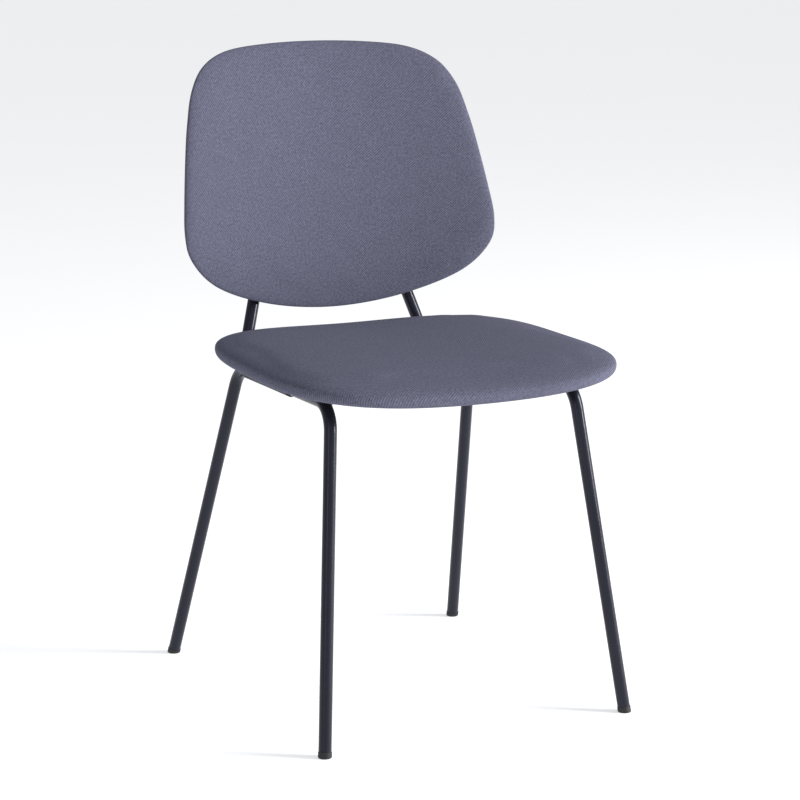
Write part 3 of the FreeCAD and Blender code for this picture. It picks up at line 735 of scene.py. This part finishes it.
def dust_plan(direction):
    return seat_plan(direction, 1.0, DUST_INSET)


def dust_form(direction, share):
    x, y = seat_plan(direction, share, DUST_INSET).T
    angle = np.arctan2(direction[:, 1], direction[:, 0])
    sag = 0.0009 * (1 - share ** 2) + 0.0003 * share ** 6 * (1 - np.cos(angle * 36)) / 2
    return np.stack([x, y, seat_rim(x, y) - SEAT_UNDERSIDE - DUST_GAP - sag], 1)


dust_sheet = draped_mesh("seat_dust_cloth", dust_form, dust_plan, 60, [], dust_fabric)
cut = bmesh.new()
cut.from_mesh(dust_sheet.data)
for x, y in hole_places:
    inside = [f for f in cut.faces if math.dist(f.calc_center_median()[:2], (x, y)) < HOLE]
    bmesh.ops.delete(cut, geom=inside, context="FACES")
    for v in cut.verts:
        away = math.dist(v.co[:2], (x, y))
        if v.is_boundary and away < 2 * HOLE:
            v.co.x = x + (v.co.x - x) * HOLE / away
            v.co.y = y + (v.co.y - y) * HOLE / away
bmesh.ops.recalc_face_normals(cut, faces=cut.faces)
dust_area = sum(f.calc_area() for f in cut.faces)
cut.to_mesh(dust_sheet.data)
cut.free()
thicken(dust_sheet, 0.0004, levels=0)
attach(dust_sheet, "root")
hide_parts("seat_dust_cover")
print("dust cloth area", round(dust_area, 4), "m2")

# %% [markdown]
# ## Back form
# The back is a plywood shell curved round the sitter, padded thickly in front and thinly
# behind, and closed by two covers that meet in a seam near its rear face. Its outline is
# drawn flat through a few points, then bent onto a cylinder and leaned back.

# %% Back form
BACK_HALF, BACK_TOP, BACK_WIDEST, BACK_BOTTOM = 0.2235, 0.204, -0.050, -0.153
BACK_CURVE, BACK_LEAN = 0.480, math.radians(11.87)
BACK_FRONT, BACK_REAR, BACK_ROLL, SEAM_DEPTH = 0.016, 0.008, 0.012, 0.003
back_shift = SEAT_MIDDLE + 0.0465
BACK_PLACE = Vector((0, 0.2127 + back_shift, 0.620))
OUTLINE = [(0.0, 1.0), (0.32, 0.987), (0.587, 0.948), (0.757, 0.865), (0.856, 0.735),
           (0.910, 0.565), (0.945, 0.40), (0.984, 0.16), (1.0, 0.0), (0.972, -0.30),
           (0.848, -0.59), (0.645, -0.79), (0.335, -0.945), (0.0, -1.0)]
half = [(BACK_HALF * x, BACK_WIDEST + z * (BACK_TOP - BACK_WIDEST if z > 0 else
                                           BACK_WIDEST - BACK_BOTTOM)) for x, z in OUTLINE]
ring = np.array(half + [(-x, z) for x, z in reversed(half[1:-1])])


def smooth_ring(points, between=24):
    """A closed curve through points, by Catmull and Rom's rule."""
    out = []
    for k in range(len(points)):
        p0, p1, p2, p3 = (points[(k + j) % len(points)] for j in (-1, 0, 1, 2))
        for t in np.arange(between) / between:
            out.append(0.5 * (2 * p1 + (p2 - p0) * t + (2 * p0 - 5 * p1 + 4 * p2 - p3) * t ** 2
                              + (3 * p1 - p0 - 3 * p2 + p3) * t ** 3))
    return np.array(out)


BACK_CENTRE = np.array([0.0, (BACK_TOP + BACK_BOTTOM) / 2])
curve = smooth_ring(ring) - BACK_CENTRE
bearing = np.arctan2(curve[:, 1], curve[:, 0])
order = np.argsort(bearing)
bearing, reach = bearing[order], np.linalg.norm(curve, axis=1)[order]


def back_plan(direction, inner=1.0, inset=0.0):
    heading = direction * np.array([BACK_HALF, (BACK_TOP - BACK_BOTTOM) / 2])
    angle = np.arctan2(heading[:, 1], heading[:, 0])
    far = np.interp(angle, bearing, reach, period=2 * math.pi) - inset
    return BACK_CENTRE + np.stack([np.cos(angle), np.sin(angle)], 1) * (far * inner)[:, None]


def on_back(flat, depth):
    """Bends points of the flat outline onto the curve and leans them into the chair."""
    x, w = flat.T
    y = np.sqrt((BACK_CURVE + depth) ** 2 - x ** 2) - BACK_CURVE
    c, s = math.cos(BACK_LEAN), math.sin(BACK_LEAN)
    return np.stack([x, BACK_PLACE.y + y * c + w * s, BACK_PLACE.z - y * s + w * c], 1)


def back_form(direction, share, inset=0.0):
    inner = np.minimum(share, 2 - share)
    flat = back_plan(direction, inner, inset)
    rim = np.linalg.norm(back_plan(direction) - BACK_CENTRE, axis=1)
    from_rim = (1 - inner) * rim
    front = -(BACK_FRONT - inset) * np.maximum(1 - inner ** 2.3, 0) ** (1 / 2.3)
    roll = np.maximum(1 - from_rim / BACK_ROLL, 0)
    rear = (BACK_REAR - inset) * (1 - roll ** 2.4) ** (1 / 2.4)
    depth = np.where(share <= 1, front, rear)
    if not inset:
        beside_seam = np.exp(-((depth - SEAM_DEPTH) / 0.0012) ** 2) * (share > 0.9)
        outline = back_plan(direction, 1.0)
        flat = flat - (outline - BACK_CENTRE) / rim[:, None] * (0.0014 * beside_seam)[:, None]
    return on_back(flat, depth)


print("back outline", len(curve), "points; reference", tuple(round(v, 4) for v in BACK_PLACE))

# %% [markdown]
# ## Back covers
# The front cover runs over the padded face and round the edge to the seam. The rear cover
# lies nearly flat on a thin wadding. Where they meet, both turn in, which leaves a narrow
# dark groove: it is made with real geometry, so that it shows from every side.

# %% Back covers
seam_roll = (1 - (SEAM_DEPTH / BACK_REAR) ** 2.4) ** (1 / 2.4)
SEAM_IN = BACK_ROLL * (1 - seam_roll)
SEAM_SHARE = SEAM_IN / 0.190
front_rings = [1 + SEAM_SHARE * t for t in (0.12, 0.3, 0.5, 0.7, 0.85, 1.0)]
back_front = draped_mesh("back_cover_front_padded", back_form, back_plan, 48, front_rings,
                         cloth_back)
_, front_shares, _ = square_rings(48, front_rings)
settle(back_front, front_shares >= 1.0, pressure=8.0, cap=0.0012)


def rear_form(direction, share):
    """Rear face from its middle, share 0, to the seam, share 1."""
    return back_form(direction, 2 - share * (1 - SEAM_SHARE))


back_rear = draped_mesh("back_cover_rear_padded", rear_form, back_plan, 48, [], cloth_rear)
_, rear_shares, _ = square_rings(48, [])
settle(back_rear, rear_shares >= 0.97, pressure=4.0, cap=0.0008)
for cover, node in ((back_front, "back_cover_front"), (back_rear, "back_cover_rear")):
    thicken(cover, 0.0012)
    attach(cover, "root")
    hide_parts(node)

# %% Back foam and wadding
def back_layer_form(front):
    """The front foam, or the thin wadding behind the board, drawn in from its cover."""
    def form(direction, share):
        if front:
            return back_form(direction, share, inset=CLOTH + 0.0003)
        return back_form(direction, 2 - share * 0.995, inset=CLOTH + 0.0003)
    return form


back_pad = draped_mesh("back_foam_pad", back_layer_form(True), back_plan, 36,
                       [1.002, 1.006, 1.012], foam_pad)
back_wad = draped_mesh("back_wadding", back_layer_form(False), back_plan, 36, [], foam_pad)
for pad, node in ((back_pad, "back_foam_front"), (back_wad, "back_wadding_rear")):
    thicken(pad, 0.0015)
    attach(pad, "root")
    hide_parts(node)

# %% [markdown]
# ## Weld beads
# The flat bars meet the side rails, and the uprights' level runs meet the bars from below.
# Each joint has a bead of weld under the paint: a line of overlapping puddles. A bead is a
# row of rings along its line, whose size swells and dips once for each puddle.

# %% Weld beads
def weld_bead(shape, start, end, radius, puddle=0.0032):
    """Adds one rippled bead, closed at both ends, to a bmesh."""
    start, end = Vector(start), Vector(end)
    line = end - start
    length = line.length
    along = line.normalized()
    side = along.orthogonal().normalized()
    up = along.cross(side)
    steps = max(int(length / 0.0007), 6)
    rings = []
    for i in range(steps + 1):
        t = i / steps
        ripple = 1 + 0.10 * math.cos(2 * math.pi * t * length / puddle)
        cap = min(1.0, math.sqrt(max(1 - (1 - min(t, 1 - t) * length / radius) ** 2, 0.02))
                  if min(t, 1 - t) * length < radius else 1.0)
        size = radius * ripple * cap
        rings.append([shape.verts.new(start + line * t + (side * math.cos(a)
                      + up * math.sin(a)) * size) for a in
                      [2 * math.pi * k / 10 for k in range(10)]])
    for before, after in zip(rings, rings[1:]):
        for k in range(10):
            n = (k + 1) % 10
            shape.faces.new((before[k], before[n], after[n], after[k]))
    shape.faces.new(rings[0][::-1])
    shape.faces.new(rings[-1])


beads = bmesh.new()
RAIL_FRONT, RAIL_REAR = (0.1661, -0.1775), (0.1677, 0.1065)
TUBE = 0.008
rail_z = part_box("side_frame_left")[1].z - TUBE
run_x = sum(corner.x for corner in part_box("upright_plug_front_left")) / 2
for bar in ("front_cross_bar", "rear_cross_bar"):
    low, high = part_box(bar)
    y0, y1 = low.y + 0.002, high.y - 0.002
    share = ((low.y + high.y) / 2 - RAIL_FRONT[1]) / (RAIL_REAR[1] - RAIL_FRONT[1])
    rail_x = RAIL_FRONT[0] + share * (RAIL_REAR[0] - RAIL_FRONT[0])
    for side in (1, -1):
        for z, raise_by in ((high.z, 0.0009), (low.z, -0.0009)):
            reach_x = rail_x - math.sqrt(max(TUBE ** 2 - (z - rail_z) ** 2, 0)) - 0.0009
            weld_bead(beads, (side * reach_x, y0, z + raise_by), (side * reach_x, y1, z + raise_by),
                      0.0021)
        for step in (1, -1):
            x = side * (run_x + step * 0.0045)
            weld_bead(beads, (x, y0, low.z - 0.0012), (x, y1, low.z - 0.0012), 0.0019)
bmesh.ops.recalc_face_normals(beads, faces=beads.faces)
bead_mesh = bpy.data.meshes.new("weld_beads")
beads.to_mesh(bead_mesh)
beads.free()
bead_mesh.polygons.foreach_set("use_smooth", [True] * len(bead_mesh.polygons))
bead_mesh.materials.append(powder_coat)
welds = bpy.data.objects.new("weld_beads", bead_mesh)
scene.collection.objects.link(welds)
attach(welds, "root")
print("weld beads:", len(bead_mesh.polygons), "faces")

# %% [markdown]
# ## Floor finish and the end
# The floor is matt and nearly white, and glows a little, like paper lit from behind, which
# keeps the shadows pale.

# %% Floor finish
white_floor, tree, shader = new_material(
    "studio_white", (0.86, 0.86, 0.86), Roughness=0.75, Specular_IOR_Level=0.2,
    Emission_Color=(1, 1, 1, 1), Emission_Strength=0.5)
stain = noise(tree, add(tree, "TexCoord").outputs["Object"], 1.3, 2.0)
tree.links.new(blend_colors(tree, stain, (0.86, 0.86, 0.865, 1), (0.89, 0.89, 0.89, 1)),
               shader.inputs["Base Color"])
floor.data.materials.append(white_floor)
